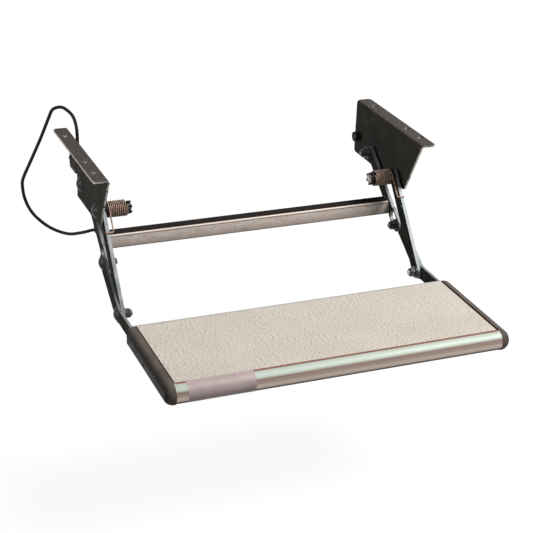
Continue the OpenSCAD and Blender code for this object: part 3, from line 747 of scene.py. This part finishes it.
def spring_line(side):
    """Hook over the front arm's edge, leg, coil and tail; side is 1 on the right and -1 on the left."""
    along = (LOWER_PIVOT - FRONT_PIVOT).normalized()
    across = Vector((0, along.z, -along.y))

    def on_arm(reach, out, x):
        p = FRONT_PIVOT + along * reach + across * out
        return Vector((side * x, p.y, p.z))

    def on_coil(angle):
        p = FRONT_PIVOT + COIL_R * (across * math.cos(angle) - along * math.sin(angle))
        return Vector((side * (COIL_X1 - COIL_PITCH * angle / math.tau), p.y, p.z))

    points = [on_arm(HOOK_REACH, HOOK_SIDE, x) for x in (ARM_X1 + WIRE_D / 2, ARM_X0)]
    for degrees in range(0, 91, HOOK_STEP_DEGREES):
        angle = math.radians(degrees)
        points.append(on_arm(HOOK_REACH - HOOK_BEND * (1 - math.cos(angle)), HOOK_SIDE,
                             COIL_X1 + HOOK_BEND * (1 - math.sin(angle))))
    for step in range(1, LEG_STEPS):
        t = step / LEG_STEPS
        points.append(on_arm((HOOK_REACH - HOOK_BEND) * (1 - t), HOOK_SIDE * (1 - t) + COIL_R * t, COIL_X1))
    points += [on_coil(math.radians(a)) for a in range(0, 360 * COIL_TURNS + 1, COIL_STEP_DEGREES)]
    end = points[-1]
    points += [end - Vector((side * x, 0, 0)) for x in (TAIL_START, COIL_TAIL)]
    return points


for side, name in SIDES.items():
    spring = wire_piece("spring_" + name, [spring_line(side)], WIRE_D / 2, SPRING_SIDES, "front_arms",
                        "spring_bronze")
    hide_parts("torsion_spring_" + name)

# Threads and lock rings at the bolts' inner ends
THREAD_PITCH = 1.25 * MM
THREAD_R = 0.32 * MM
THREAD_SIDES = 6
THREAD_STEPS = 20
LOCK_RING_R = BOLT_D / 2 + 0.75 * MM
LOCK_RING_WIRE = 0.5 * MM
BOLT_ENDS = (
    ("arm", "tread", (KNEE, LOWER_PIVOT), NUT_END),
    ("rear", "mount_frame", (REAR_PIVOT,), REAR_NUT_END),
)


def thread_line(side, centre, nut_end):
    """A screw line on the bolt's end, from the nut to the tip."""
    last = round(BOLT_END / THREAD_PITCH * THREAD_STEPS)
    return [round_axis(centre, BOLT_D / 2, side * (nut_end - THREAD_PITCH * i / THREAD_STEPS),
                       math.tau * i / THREAD_STEPS) for i in range(last + 1)]


for name, body, centres, nut_end in BOLT_ENDS:
    threads = [thread_line(side, centre, nut_end) for side in SIDES for centre in centres]
    wire_piece(name + "_bolt_threads", threads, THREAD_R, THREAD_SIDES, body, "bolt_zinc", finish="nut_dark")
    rings = [circle(centre, LOCK_RING_R, side * nut_end) for side in SIDES for centre in centres]
    wire_piece(name + "_nut_rings", rings, LOCK_RING_WIRE, FINE_SIDES, body, "black_plastic", closed=True)

# Welds of the cross bar and the bushes on the rear arms
WELD_STEP = 1.1 * MM
WELD_R = 1.1 * MM
WELD_X = ARM_X0 - 0.3 * MM
WELD_MARGIN = 1 * MM


def weld_points():
    """Points along the cross bar's ends where they meet the arms, and round the bushes."""
    along = (KNEE - REAR_PIVOT).normalized()
    across = Vector((0, -along.z, along.y))
    half = BAR_SIZE / 2
    square = ((-half, -half), (half, -half), (half, half), (-half, half))
    corners = [BAR_CENTRE + Vector((0, y, z)) for y, z in square]
    spots = []
    for a, b in zip(corners, corners[1:] + corners[:1]):
        count = int((b - a).length / WELD_STEP)
        spots += [a + (b - a) * i / count for i in range(count)]
    spots = [p for p in spots if abs((p - REAR_PIVOT).dot(across)) < REAR_ARM_W / 2 - WELD_MARGIN]
    spots += circle(REAR_PIVOT, BUSH_R, 0, round(math.tau * BUSH_R / WELD_STEP))
    return [Vector((side * WELD_X, p.y, p.z)) for side in SIDES for p in spots]


welds = grown("bar_welds", DROPS, line_mesh("weld_spots", weld_points()), Radius=WELD_R,
              Finish=FINISHES["nut_dark"])
add_piece(welds, "rear_arms")

# End caps with a rounded side
CAP_X0 = 232.5 * MM
CAP_W = 13.5 * MM
CAP_REAR = -207.5 * MM
CAP_LIP = 0.8 * MM
CAP_STRAIGHT = 1.5 * MM
CAP_ROUND = 11 * MM
CAP_ROUND_STEPS = 12
CAP_REAR_ROUND = 6 * MM
CAP_LEAST_ROUND = 0.4 * MM
CAP_NOSE_STEPS = 24
CAP_CORNER_STEPS = 6
CAP_SHARP_DEGREES = 40
CAP_SCREWS = [Vector((0, y, -188.25)) * MM for y in (-265.333, -318.667)]
CAP_SCREW_R = 5.8 * MM
CAP_SCREW_END = 239.9 * MM
CAP_SCREW_SIDES = 32
POCKET_X1 = 236.9 * MM
POCKET_Y0 = -349.9 * MM
POCKET_Z0 = -198.65 * MM
POCKET_Z1 = -177.85 * MM
POCKET_PAST = 1 * MM


def cap_ring(x, inset):
    """The cap's outline at x: the tread's side outline and the lip, inset all round."""
    r = NOSE_R + CAP_LIP - inset
    rear = CAP_REAR - inset
    corner = max(CAP_REAR_ROUND - inset, CAP_LEAST_ROUND)
    low = NOSE.z - r
    high = NOSE.z + r
    arcs = [
        (NOSE.y, NOSE.z, r, 90, 270, CAP_NOSE_STEPS),
        (rear - corner, low + corner, corner, 270, 360, CAP_CORNER_STEPS),
        (rear - corner, high - corner, corner, 0, 90, CAP_CORNER_STEPS),
    ]
    return [(x, y + radius * math.cos(a), z + radius * math.sin(a))
            for y, z, radius, first, last, count in arcs
            for a in (math.radians(first + (last - first) * i / count) for i in range(count + 1))]


def cap_form(mesh, side):
    """The cap's solid: rings from its flat inner face, drawn in along a quarter ellipse to its outer face."""
    turns = [math.pi / 2 * i / CAP_ROUND_STEPS for i in range(CAP_ROUND_STEPS + 1)]
    rings = [cap_ring(side * CAP_X0, 0)]
    rings += [cap_ring(side * (CAP_X0 + CAP_STRAIGHT + (CAP_W - CAP_STRAIGHT) * math.sin(a)),
                       CAP_ROUND * (1 - math.cos(a))) for a in turns]
    count = len(rings[0])
    faces = []
    for k in range(len(rings) - 1):
        inner = count * k
        outer = count * (k + 1)
        for i in range(count):
            after = (i + 1) % count
            faces.append([inner + i, inner + after, outer + after, outer + i])
    ends = [list(range(count)), list(range(count * (len(rings) - 1), count * len(rings)))]
    mesh.from_pydata([p for ring in rings for p in ring], [], faces + ends)


def cap_pockets(name, side):
    """Room in the cap for the bracket's ear and its screw heads, as solids to cut out."""
    x0 = CAP_X0 - POCKET_PAST
    y1 = CAP_REAR + POCKET_PAST
    size = Vector((POCKET_X1 - x0, y1 - POCKET_Y0, POCKET_Z1 - POCKET_Z0))
    centre = Vector((side * (x0 + POCKET_X1) / 2, (y1 + POCKET_Y0) / 2, (POCKET_Z0 + POCKET_Z1) / 2))
    ear = bmesh.new()
    bmesh.ops.create_cube(ear, matrix=Matrix.Translation(centre) @ Matrix.Diagonal((*size, 1)))
    cuts = [ear]
    for screw in CAP_SCREWS:
        middle = Vector((side * (x0 + CAP_SCREW_END) / 2, screw.y, screw.z))
        along_x = Matrix.Translation(middle) @ Matrix.Rotation(math.pi / 2, 4, "Y")
        head = bmesh.new()
        bmesh.ops.create_cone(head, cap_ends=True, segments=CAP_SCREW_SIDES, radius1=CAP_SCREW_R,
                              radius2=CAP_SCREW_R, depth=CAP_SCREW_END - x0, matrix=along_x)
        cuts.append(head)
    pockets = []
    for cut in cuts:
        mesh = bpy.data.meshes.new(name + "_pocket")
        cut.to_mesh(mesh)
        cut.free()
        pockets.append(bpy.data.objects.new(name + "_pocket", mesh))
    return pockets


def outward(mesh):
    """Let the faces of a closed mesh point outwards."""
    shell = bmesh.new()
    shell.from_mesh(mesh)
    bmesh.ops.recalc_face_normals(shell, faces=shell.faces)
    shell.to_mesh(mesh)
    shell.free()


def end_cap(name, side):
    """A cap's form with the pockets cut out of it."""
    cap = bpy.data.objects.new(name, bpy.data.meshes.new(name))
    cap_form(cap.data, side)
    pockets = cap_pockets(name, side)
    for made in (cap, *pockets):
        outward(made.data)
        scene.collection.objects.link(made)
    for pocket in pockets:
        cut = cap.modifiers.new("cut", "BOOLEAN")
        cut.operation = "DIFFERENCE"
        cut.object = pocket
        cut.solver = "EXACT"
    result = settle(cap)
    for pocket in pockets:
        bpy.data.objects.remove(pocket)
    result.shade_smooth()
    result.set_sharp_from_angle(angle=math.radians(CAP_SHARP_DEGREES))
    result.materials.clear()
    result.materials.append(FINISHES["cap_plastic"])
    return cap


for side, name in SIDES.items():
    cap = end_cap("cap_" + name, side)
    add_piece(cap, "tread")
    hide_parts("end_cap_" + name)

# Grip mat and its edging
MAT_COLUMNS = 307
MAT_ROWS = 108
MAT_RELIEF = 0.45 * MM
EDGING_R = 0.45 * MM
EDGING_X = MAT_X + EDGING_R
EDGING_Y1 = MAT_Y1 + EDGING_R
EDGING_Z = TREAD_TOP - 0.4 * MM

mat = grown("mat", MAT, bpy.data.meshes.new("mat_base"), Length=2 * MAT_X, Width=MAT_Y1 - MAT_Y0,
            Columns=MAT_COLUMNS, Rows=MAT_ROWS, Relief=MAT_RELIEF, Thickness=MAT_T,
            Centre=(0, (MAT_Y0 + MAT_Y1) / 2, TREAD_TOP), Finish=FINISHES["grip_beige"])
add_piece(mat, "tread")
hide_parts("grip_mat")

edging_corners = ((-EDGING_X, MAT_Y0), (-EDGING_X, EDGING_Y1), (EDGING_X, EDGING_Y1), (EDGING_X, MAT_Y0))
edging = [Vector((x, y, EDGING_Z)) for x, y in edging_corners]
wire_piece("mat_edging", [edging], EDGING_R, FINE_SIDES, "tread", "strip_brown")

# Trim and blank film on the nose, which end at an angle in degrees round it
NOSE_STEP_DEGREES = 5
FILM_T = 0.12 * MM
TRIM_LIFT = 0.03 * MM
TRIM_END = 100
BLANK_X0 = -216.5 * MM
BLANK_X1 = -126 * MM
BLANK_LIFT = 0.2 * MM
BLANK_END = 235


def nose_line(x, lift, last):
    """A line over the nose at x, lift outside it, from the mat's front edge to an angle in degrees."""
    r = NOSE_R + lift
    turns = [math.radians(a) for a in range(90, last + 1, NOSE_STEP_DEGREES)]
    return [Vector((x, MAT_Y0, NOSE.z + r))] + [round_axis(NOSE, r, x, a) for a in turns]


def nose_film(name, finish, x0, x1, lift, last):
    """A film on the nose from x0 to x1."""
    line = line_mesh(name + "_line", nose_line(x0, lift, last))
    film = grown(name, FILM, line, Length=x1 - x0, Thickness=FILM_T, Finish=FINISHES[finish])
    add_piece(film, "tread")


nose_film("front_trim", "strip_brown", -MAT_X, MAT_X, TRIM_LIFT, TRIM_END)
nose_film("blank_film", "label_film", BLANK_X0, BLANK_X1, BLANK_LIFT, BLANK_END)

# Small moulded details: rings on the end caps, ribs on the gland
MOULDED_WIRE = 0.5 * MM
CAP_DOT = Vector((0, -290.8, -187.2)) * MM
CAP_DOT_R = 1.8 * MM
GLAND = Vector(CABLE_ROUTE[0]) * MM
RIB_R = 3.6 * MM
RIB_HEIGHTS = [(-3.2 + 1.3 * i) * MM for i in range(3)]
RIB_STEPS = 20

dots = [circle(CAP_DOT, CAP_DOT_R, side * (CAP_X0 + CAP_W)) for side in SIDES]
wire_piece("cap_dots", dots, MOULDED_WIRE, FINE_SIDES, "tread", "cap_plastic", closed=True)

rib_turns = [math.tau * i / RIB_STEPS for i in range(RIB_STEPS)]
ribs = [[GLAND + Vector((RIB_R * math.cos(a), RIB_R * math.sin(a), height)) for a in rib_turns]
        for height in RIB_HEIGHTS]
wire_piece("gland_ribs", ribs, MOULDED_WIRE, FINE_SIDES, "mount_frame", "black_plastic", closed=True)

# Floor and light
WHITE = (1, 1, 1, 1)
FLOOR_Z = -0.42
FLOOR_HALF = 12
FLOOR_GREY = (0.17, 0.17, 0.17, 1)
GLOW_REACH = (0.6, 2.6)
GLOW_STRENGTH = (0.89, 0.985)
SKY_LIGHT = 0.13
SKY_SEEN = 1.0
LAMP_AIM = Vector((0, -0.12, -0.1))
LAMPS = (
    ("key_light", (1.5, -1.1, 1.9), 1.2, 79),
    ("fill_light", (-2.7, 0.1, 0.4), 1.6, 38),
)


def seen(graph):
    """1 where the camera sees a surface, straight or by way of metal or glass, and 0 for other light."""
    path = graph.add("ShaderNodeLightPath").outputs
    through = graph.math("MAXIMUM", path["Is Glossy Ray"], path["Is Transmission Ray"])
    return graph.math("MAXIMUM", path["Is Camera Ray"], through)


def set_floor():
    """A matt floor that keeps the shadow, with a pale glow that only the camera sees."""
    floor = bpy.data.objects.new("floor", bpy.data.meshes.new("floor"))
    grid = bmesh.new()
    bmesh.ops.create_grid(grid, x_segments=1, y_segments=1, size=FLOOR_HALF)
    grid.to_mesh(floor.data)
    grid.free()
    floor.location = (0, 0, FLOOR_Z)
    scene.collection.objects.link(floor)
    paint = bpy.data.materials.new("floor_white")
    paint.use_nodes = True
    graph = Graph(paint.node_tree)
    graph.tree.nodes.clear()
    matt = graph.add("ShaderNodeBsdfDiffuse", {"Color": FLOOR_GREY})
    place = graph.add("ShaderNodeTexCoord").outputs["Object"]
    away = graph.add("ShaderNodeVectorMath", [place], operation="LENGTH").outputs["Value"]
    pale = graph.between(away, *GLOW_REACH, *GLOW_STRENGTH, smooth=False)
    glow = graph.add("ShaderNodeEmission", {"Color": WHITE, "Strength": graph.product(seen(graph), pale)})
    both = graph.add("ShaderNodeAddShader", [matt.outputs[0], glow.outputs[0]])
    graph.add("ShaderNodeOutputMaterial", [both.outputs[0]])
    floor.data.materials.append(paint)


def set_world():
    """A white surrounding that gives the object only a little light."""
    world = bpy.data.worlds.new("studio")
    scene.world = world
    world.use_nodes = True
    graph = Graph(world.node_tree)
    graph.tree.nodes.clear()
    light = graph.between(seen(graph), 0, 1, SKY_LIGHT, SKY_SEEN, smooth=False)
    sky = graph.add("ShaderNodeBackground", {"Color": WHITE, "Strength": light})
    graph.add("ShaderNodeOutputWorld", [sky.outputs[0]])


def set_lamps():
    """Square lamps, given by name, place, size and watts."""
    for name, place, size, watts in LAMPS:
        data = bpy.data.lights.new(name, "AREA")
        data.shape = "SQUARE"
        data.size = size
        data.energy = watts
        lamp = bpy.data.objects.new(name, data)
        lamp.location = place
        lamp.rotation_euler = (LAMP_AIM - Vector(place)).to_track_quat("-Z", "Y").to_euler()
        scene.collection.objects.link(lamp)


set_floor()
set_world()
set_lamps()
scene.view_settings.view_transform = "Standard"
